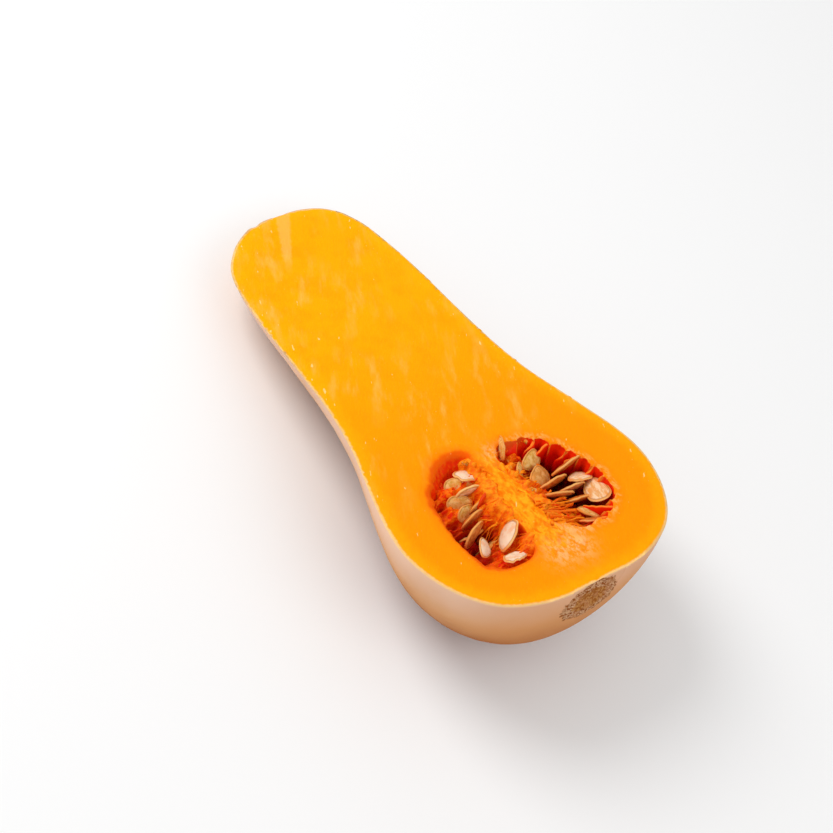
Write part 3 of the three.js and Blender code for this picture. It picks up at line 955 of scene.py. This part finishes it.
def fan_strings(seed):
    """Coarse strands that fan out from the ridge's end over the far chamber's last seeds."""
    rng = np.random.default_rng(seed)
    specs = []
    for share in np.linspace(0, 1, FAN_STRINGS):
        root = (179 + 9 * share + rng.normal(0, 0.8), 2.5 + rng.uniform(-1.5, 1.5),
                rng.uniform(-1.2, -0.6))
        end = (178 + 16 * share + rng.normal(0, 0.7), 16 + 3 * rng.random() - 3 * share,
               rng.uniform(-6.5, -3))
        specs.append((root, end, *drawn(rng, FAN_TRAITS)))
    return specs


def ridge_strings(seed):
    """Torn strings lying along the top of the ridge."""
    rng = np.random.default_rng(seed)
    specs = []
    for _ in range(RIDGE_STRINGS):
        x, y = rng.uniform(150, 200), rng.uniform(-8, 4)
        lean = rng.normal(0, 0.3)
        run = rng.uniform(3, 8)
        begin = (x, y, rng.uniform(-1.5, -1.0))
        end = (x + run * math.cos(lean), y + run * math.sin(lean), rng.uniform(-1.5, -1.0))
        specs.append((begin, end, *drawn(rng, RIDGE_TRAITS)))
    return specs


def crumb_strings(seed):
    """Small knots of short pale shreds."""
    rng = np.random.default_rng(seed)
    flat = np.array([1, 1, 0.4])
    specs = []
    for x, y, z, size in CRUMBS:
        for _ in range(CRUMB_SHREDS):
            begin = np.array([x, y, z]) + rng.normal(0, 0.28 * size, 3) * flat
            end = begin + rng.normal(0, 0.22 * size, 3) * flat
            specs.append((begin, end, rng.uniform(0.3, 0.75), 0, 0.8, rng.uniform(0.8, 0.95)))
    return specs


# ---- Materials ----

def colour(red, green, blue):
    """A colour given as 0-255 screen values, as the shader's linear RGBA."""
    def linear(v):
        v = v / 255
        return v / 12.92 if v <= 0.04045 else ((v + 0.055) / 1.055) ** 2.4
    return (linear(red), linear(green), linear(blue), 1)


class Shader:
    """A material under construction: short calls that add nodes and join them."""

    def __init__(self, name):
        self.material = bpy.data.materials.new(name)
        self.material.use_nodes = True
        self.nodes = self.material.node_tree.nodes

    def feed(self, node, inputs):
        """Joins sockets to a node's inputs, or sets them where a plain value is given."""
        for key, value in inputs.items():
            if hasattr(value, "is_output"):
                self.material.node_tree.links.new(value, node.inputs[key])
            else:
                node.inputs[key].default_value = value

    def add(self, kind, inputs, output=0, **settings):
        """A new node with these settings and inputs; gives one of its outputs."""
        node = self.nodes.new("ShaderNode" + kind)
        for key, value in settings.items():
            setattr(node, key, value)
        self.feed(node, inputs)
        return node.outputs[output]

    def attribute(self, name, output="Vector"):
        return self.add("Attribute", {}, output, attribute_name=name)

    def number(self, name):
        """What store() kept for each point, where that is a single number."""
        return self.attribute(name, "Fac")

    def split(self, vector):
        return self.add("SeparateXYZ", {0: vector}).node.outputs

    def scaled(self, vector, scale):
        return self.add("VectorMath", {0: vector, 1: scale}, operation="MULTIPLY")

    def noise(self, vector, scale, detail=3, roughness=0.5):
        inputs = {"Vector": vector, "Scale": scale, "Detail": detail, "Roughness": roughness}
        return self.add("TexNoise", inputs, "Fac")

    def cells(self, vector, scale):
        return self.add("TexVoronoi", {"Vector": vector, "Scale": scale}, "Distance")

    def math(self, operation, first, second=0.0):
        return self.add("Math", {0: first, 1: second}, operation=operation)

    def times(self, first, second):
        return self.math("MULTIPLY", first, second)

    def shaken(self, value, place, scale, detail, amount):
        """A value with noise added, so that borders drawn by it wander."""
        return self.math("ADD", value, self.times(self.noise(place, scale, detail), amount))

    def mask(self, value, low, high):
        """0 below low, 1 above high, smooth between; low may be above high."""
        ends = (low, high, 0, 1) if low < high else (high, low, 1, 0)
        inputs = dict(zip(("Value", "From Min", "From Max", "To Min", "To Max"), (value, *ends)))
        return self.add("MapRange", inputs, "Result", interpolation_type="SMOOTHSTEP")

    def mix(self, share, first, second):
        """The first colour turning into the second, each joined or given as 0-255 values."""
        tints = [colour(*tint) if isinstance(tint, tuple) else tint for tint in (first, second)]
        return self.add("Mix", {0: share, 6: tints[0], 7: tints[1]}, 2, data_type="RGBA")

    def over(self, base, share, strength, tint):
        """The base with a tint over it, as much as the share times the strength."""
        return self.mix(self.times(share, strength), base, tint)

    def bump(self, height, strength, **more):
        inputs = {"Strength": strength, "Distance": 0.001, "Height": height, **more}
        return self.add("Bump", inputs, "Normal")

    def cork(self, place):
        """Brown cork set with pale flecks, its middle smoother and more olive."""
        flecks = self.cells(self.scaled(place, (1, 1, 1.3)), 0.95)
        wander = self.shaken(flecks, place, 1.6, 3, 0.5)
        base = self.mix(self.mask(wander, 0.95, 0.62), (150, 82, 34), (214, 168, 128))
        outer = self.number("scar_distance")
        olive = self.mix(self.mask(wander, 0.9, 0.55), (164, 96, 38), (198, 140, 78))
        base = self.mix(self.mask(outer, 0.66, 0.5), base, olive)
        patchy = self.mask(self.noise(place, 0.22, 2), 0.48, 0.6)
        base = self.over(base, patchy, 0.45, (206, 148, 104))
        return self.over(base, self.mask(outer, 0.84, 0.94), 0.4, (160, 98, 44))

    def ridge_and_rims(self, base, place):
        """The flesh's colours on the ridge, over torn fibres (pale, partly painted highlight) and
        along the chambers' rims.
        """
        ridge, chamber, y = self.number("ridge"), self.number("chamber"), self.split(place)[1]
        wander = self.shaken(chamber, place, 0.35, 3, 2.0)
        wander = self.math("SUBTRACT", wander, self.times(self.number("soft"), 2.5))
        not_ridge = self.math("SUBTRACT", 1.0, ridge)
        halo = self.times(self.mask(wander, 7, 1.5), not_ridge)
        base = self.over(base, halo, 0.5, (252, 124, 2))
        edge = self.times(self.mask(wander, 2.6, 0.4), not_ridge)
        base = self.over(base, self.times(edge, self.mask(y, 8, 2)), 0.85, (238, 84, 2))
        shreds = self.noise(self.scaled(place, (0.6, 1, 1)), 0.42, 5, 0.7)
        fringe = self.times(self.mask(wander, 4.6, 2.0), self.mask(shreds, 0.46, 0.6))
        base = self.over(base, self.times(fringe, self.mask(y, 6, 14)), 0.7, (255, 180, 88))
        lumps = self.noise(self.scaled(place, (0.6, 1, 1)), 0.5, 5, 0.6)
        ridge_base = self.mix(self.mask(lumps, 0.38, 0.6), (250, 130, 4), (255, 170, 24))
        base = self.mix(ridge, base, ridge_base)
        flank = self.times(self.mask(chamber, 3, 0.5), ridge)
        base = self.over(base, flank, 0.3, (246, 108, 4))
        # Pale torn fibres: partly their own colour, partly painted highlight of wet glints.
        torn_and_glint_colour = self.mix(self.mask(shreds, 0.42, 0.58), (252, 142, 14), (254, 196, 132))
        return self.over(base, self.number("torn"), 0.85, torn_and_glint_colour)

    def finish(self, base, roughness, **inputs):
        """Gives the surface its colour, its roughness and what else is set."""
        principled = self.nodes["Principled BSDF"]
        self.feed(principled, {"Base Color": base, "Roughness": roughness, **inputs})
        return self.material

    def finish_soft(self, base, roughness, normal, scatter, radius, scatter_mm, specular):
        """A surface that lets some light in and has a weak shine."""
        return self.finish(base, roughness, **{
            "Normal": normal, "Subsurface Weight": scatter, "Subsurface Radius": radius,
            "Subsurface Scale": scatter_mm / 1000, "Specular IOR Level": specular,
        })


def skin_material():
    """Matte peach skin, browner lower down, partly its own tan and partly painted shade of the
    underside, with faint lengthwise streaks, and a corky blossom scar.
    """
    s = Shader("skin")
    place, rim, scar = s.attribute("place"), s.number("rim"), s.number("scar")
    x = s.split(place)[0]
    low = s.shaken(rim, place, 0.03, 3, 16)
    # Browner the further from the rim, towards the underside: partly the skin's own tan, partly
    # painted shade of the underside.
    base = s.mix(s.mask(low, 8, 30), (240, 198, 170), (220, 160, 108))
    base = s.mix(s.mask(low, 22, 50), base, (154, 78, 18))
    base = s.over(base, s.mask(x, 196, 216), 0.5, (208, 140, 84))
    streak = s.noise(s.scaled(place, (0.02, 0.25, 0.25)), 1.0, 4, 0.6)
    streak = s.times(s.mask(streak, 0.5, 0.75), s.mask(x, 210, 180))
    base = s.over(base, streak, 0.18, (240, 198, 160))
    base = s.over(base, s.mask(rim, 1.6, 0.2), 0.8, (250, 206, 154))
    base = s.mix(s.mask(scar, 0.3, 0.6), base, s.cork(place))
    normal = s.bump(s.noise(place, 0.5, 5, 0.6), 0.1)
    normal = s.bump(s.times(s.noise(place, 1.6, 3), scar), 0.5, Normal=normal)
    return s.finish_soft(base, 0.65, normal, 0.1, (1, 0.6, 0.35), 2.0, 0.04)


def flesh_material():
    """Moist orange flesh: faint pale streaks, pale flecks painted as wet glints, and a cream edge
    along the skin.
    """
    s = Shader("flesh")
    place, grain, rim = s.attribute("place"), s.attribute("grain"), s.number("rim")
    x = s.split(place)[0]
    base = s.mix(s.mask(x, 60, 165), (254, 170, 0), (252, 146, 0))
    mottle = s.noise(place, 0.07, 5, 0.65)
    base = s.over(base, s.mask(mottle, 0.42, 0.66), 0.4, (252, 150, 0))
    ragged = s.shaken(rim, place, 0.3, 4, 5)
    base = s.over(base, s.mask(ragged, 11, 4), 0.45, (255, 180, 4))
    streak = s.noise(s.scaled(grain, (0.3, 1, 1)), 0.16, 5, 0.6)
    patch = s.noise(place, 0.03, 3)
    pale = s.times(s.mask(streak, 0.48, 0.72), s.mask(patch, 0.4, 0.6))
    base = s.over(base, s.times(pale, s.mask(x, 175, 125)), 0.6, (255, 186, 84))
    along, across, _ = s.split(grain)
    shaky = s.shaken(across, place, 0.4, 3, 2)
    off_band = s.math("ABSOLUTE", s.math("SUBTRACT", shaky, NECK_BAND_Y))
    widening = s.math("ADD", off_band, s.times(along, 0.05))
    band = s.times(s.mask(along, NECK_BAND_END, 20), s.mask(widening, 3.6, 2.2))
    base = s.over(base, band, 0.5, (255, 186, 92))
    base = s.ridge_and_rims(base, place)
    # Painted highlights: small bright specks standing for wet glints.
    glint_dots = s.times(s.mask(s.noise(place, 1.1, 1), 0.74, 0.8), s.mask(patch, 0.45, 0.5))
    base = s.over(base, glint_dots, 0.5, (255, 206, 120))
    # Painted highlights: pale flecks along the knife marks, denser near the skin, standing for wet
    # glints.
    glint_shard = s.noise(s.scaled(grain, (0.5, 1.4, 1)), 0.33, 2)
    glint_shard = s.math("ADD", glint_shard, s.times(s.mask(rim, 14, 2), 0.045))
    glint_shards = s.times(s.mask(glint_shard, 0.73, 0.76), s.mask(x, 208, 200))
    base = s.over(base, glint_shards, 0.7, (255, 216, 140))
    cream = s.shaken(rim, place, 0.8, 3, 0.8)
    base = s.mix(s.mask(cream, 1.7, 0.8), base, (252, 204, 134))
    normal = s.bump(s.noise(s.scaled(grain, (0.5, 1.2, 1)), 1.2, 4, 0.6), 0.2)
    return s.finish_soft(base, 0.5, normal, 0.12, (1, 0.35, 0.05), 2.0, 0.03)


def cavity_material():
    """Wet red walls of the chambers, orange at their edges, and darker with depth as painted shade.
    """
    s = Shader("cavity_wall")
    place = s.attribute("place")
    x, y, z = s.split(place)
    rough_z = s.shaken(z, place, 0.3, 3, 3)
    # Redder and a little darker lower down: partly the wall's own red, partly painted shade.
    red = s.mix(s.mask(rough_z, 0, -7), (244, 44, 2), (222, 14, 2))
    # Painted shade: duller brownish orange on the wall that slopes in by the neck.
    by_neck = s.times(s.mask(x, 151, 148), s.mask(z, -9, -3))
    red = s.over(red, by_neck, 0.8, (216, 92, 14))
    soft_rim = s.mix(s.mask(rough_z, 1.0, -2.0), (250, 110, 4), (238, 50, 2))
    base = s.mix(s.mask(y, -2, 2), soft_rim, red)
    base = s.mix(s.mask(z, -0.1, -0.7), (250, 116, 6), base)
    streaks = s.noise(s.scaled(place, (1, 1, 0.3)), 0.7, 4, 0.6)
    streaks = s.times(s.mask(streaks, 0.46, 0.62), s.mask(y, 2, -2))
    base = s.over(base, streaks, 0.5, (248, 104, 8))
    # Painted shade: near black-red deep in the chamber, where little light reaches.
    base = s.mix(s.mask(z, -9, -16), base, (130, 6, 0))
    cusp = s.times(s.mask(s.number("cusp"), 0.45, 0.95), s.mask(z, -6, -2))
    base = s.over(base, cusp, 0.8, (254, 148, 44))
    normal = s.bump(s.noise(place, 0.6, 4, 0.6), 0.15)
    return s.finish_soft(base, 0.4, normal, 0.15, (1, 0.25, 0.05), 2.0, 0.08)


def pulp_material():
    """Wet red-orange pulp between the seeds, orange near the ridge, and darker deep down as painted
    shade.
    """
    s = Shader("pulp")
    place = s.attribute("place")
    z = s.split(place)[2]
    stringy = s.scaled(place, (1, 0.5, 1))
    lumps = s.noise(stringy, 0.55, 5, 0.65)
    base = s.mix(s.mask(lumps, 0.4, 0.6), (228, 40, 0), (252, 118, 6))
    near_ridge = s.mix(s.mask(lumps, 0.38, 0.6), (246, 104, 4), (255, 150, 20))
    base = s.mix(s.mask(s.number("away"), 7, 1.5), base, near_ridge)
    # Painted shade: darker red, then near black, the deeper the pulp lies in the chamber.
    base = s.mix(s.mask(z, -6, -12), base, (176, 16, 0))
    base = s.mix(s.mask(z, -11, -16), base, (76, 5, 0))
    normal = s.bump(s.noise(stringy, 0.9, 4, 0.6), 0.3)
    return s.finish_soft(base, 0.4, normal, 0.15, (1, 0.3, 0.05), 1.5, 0.06)


def string_material():
    """Wet orange strings, some pale where they are torn, and darker lower down as painted shade."""
    s = Shader("strings")
    place, tone = s.attribute("place"), s.number("tone")
    base = s.mix(s.mask(tone, 0.0, 0.8), (238, 78, 2), (254, 142, 14))
    base = s.mix(s.mask(tone, 0.86, 0.94), base, (254, 188, 100))
    # Painted shade: strings turn dark red the deeper they hang in the chamber.
    base = s.over(base, s.mask(s.split(place)[2], -6, -13), 0.7, (190, 36, 2))
    normal = s.bump(s.noise(place, 2.0, 3), 0.2)
    return s.finish_soft(base, 0.42, normal, 0.2, (1, 0.4, 0.1), 1.0, 0.1)


def seed_material():
    """Flat seeds with tan rims, their faces olive and wet to pale and dry; the barest is red."""
    s = Shader("seed_coat")
    ring, along, tone = s.split(s.attribute("seed"))
    own = s.attribute("own")
    grain = s.mask(s.noise(own, 0.5, 4, 0.6), 0.35, 0.65)
    olive = s.mix(grain, (242, 200, 126), (214, 156, 62))
    # The tan seeds' red-brown: partly their wet coat, partly painted shade of faces turned from the
    # light in the chamber.
    tan = s.mix(grain, (216, 118, 42), (186, 80, 22))
    fibres = s.noise(s.scaled(own, (0.3, 1, 1)), 0.9, 4, 0.6)
    light = s.mix(s.mask(fibres, 0.4, 0.62), (246, 208, 166), (230, 164, 96))
    base = s.mix(s.mask(tone, 0.25, 0.45), olive, tan)
    base = s.mix(s.mask(tone, 0.5, 0.9), base, light)
    base = s.mix(s.mask(tone, 0.88, 0.94), base, (242, 208, 176))
    dry = s.mask(tone, 0.3, 0.8)
    # Painted shade: a darker line in the shallow groove inside the seed's rim.
    groove = s.math("ADD", 0.25, s.times(dry, 0.35))
    base = s.over(base, s.mask(ring, 0.81, 0.86), groove, (158, 84, 20))
    bead = s.math("ADD", 0.45, s.times(dry, 0.55))
    base = s.over(base, s.mask(ring, 0.88, 0.92), bead, (224, 146, 64))
    # The pale edge: partly the coat's paler margin, partly painted highlight along the rim.
    edge = s.mix(dry, (232, 160, 80), (246, 192, 118))
    base = s.mix(s.mask(ring, 0.94, 0.98), base, edge)
    stain = s.mask(s.noise(own, 0.23, 3, 0.6), 0.5, 0.66)
    base = s.over(base, stain, 0.4, (240, 136, 30))
    base = s.over(base, s.mask(along, -0.28, -0.5), 0.6, (240, 118, 14))
    base = s.mix(s.mask(tone, 0.06, 0.02), base, (230, 66, 4))
    normal = s.bump(s.noise(own, 1.4, 4, 0.6), 0.15)
    return s.finish_soft(base, 0.36, normal, 0.12, (1, 0.6, 0.35), 1.0, 0.16)


# ---- Scene ----

def camera():
    """The camera, and its right, up and back in the row frame."""
    data = bpy.data.cameras.new("camera")
    data.lens = LENS_MM
    data.sensor_width = SENSOR_MM
    data.clip_end = 50
    obj = add_object("camera", data)
    right, down = turn_to_row([CAMERA_RIGHT, CAMERA_DOWN])
    right /= np.linalg.norm(right)
    back = np.cross(right, -down)
    back /= np.linalg.norm(back)
    up = np.cross(back, right)
    turn = Matrix((right, up, back)).transposed().to_4x4()
    obj.matrix_world = Matrix.Translation(Vector(to_row([CAMERA_PLACE])[0])) @ turn
    bpy.context.scene.camera = obj
    return right, up, back


def area_light(name, place, size, power):
    data = bpy.data.lights.new(name, "AREA")
    data.shape = "DISK"
    data.size = size
    data.energy = power
    obj = add_object(name, data)
    obj.location = place
    aim = Vector(LIGHT_TARGET) - Vector(place)
    obj.rotation_euler = aim.to_track_quat("-Z", "Y").to_euler()


def studio(right, up, back):
    """A pale floor and room, a large soft key above the camera's left, a weak fill."""
    mesh = bpy.data.meshes.new("floor")
    r = FLOOR_REACH
    mesh.from_pydata([(-r, -r, 0), (r, -r, 0), (r, r, 0), (-r, r, 0)], [], [(0, 1, 2, 3)])
    floor = add_object("floor", mesh)
    s = Shader("floor")
    tint = s.mix(s.noise(s.attribute("position"), 3.0, 2), (246, 246, 246), (244, 244, 244))
    mesh.materials.append(s.finish(tint, 0.8))
    world = bpy.data.worlds.new("room")
    bpy.context.scene.world = world
    world.use_nodes = True
    background = world.node_tree.nodes["Background"]
    background.inputs["Color"].default_value = (1, 1, 1, 1)
    background.inputs["Strength"].default_value = ROOM_LIGHT
    for name, (towards, aside, above, size, power) in LIGHTS.items():
        area_light(name, back * towards + right * aside + up * above, size, power)


bpy.context.scene.view_settings.view_transform = "Standard"
axes = camera()
studio(*axes)

wall_look = cavity_material()
half_fruit(skin_material(), flesh_material(), wall_look)
septa(wall_look)
pulp_look, string_look, seed_look = pulp_material(), string_material(), seed_material()
for side, chamber_rim, ridge, places, number in (
    ("far", FAR_RIM, FAR_RIDGE_Y, FAR_SEEDS, 50),
    ("near", NEAR_RIM, NEAR_RIDGE_Y, NEAR_SEEDS, 60),
):
    cad_node = "seeds_and_pulp_" + side
    pulp("pulp_" + side, chamber_rim, ridge, pulp_look, cad_node)
    seeds("seeds_" + side, places + lower_seeds(chamber_rim, ridge), seed_look, number, cad_node)
    specs = tie_strings(places, chamber_rim, ridge, number + 1)
    specs += bed_strings(chamber_rim, ridge, number + 2)
    specs += fan_strings(number + 4) if side == "far" else []
    strings("strings_" + side, specs, string_look, cad_node, number + 3)
on_ridge = ridge_strings(70) + crumb_strings(72)
strings("strings_ridge", on_ridge, string_look, "seeds_and_pulp_far", 71)
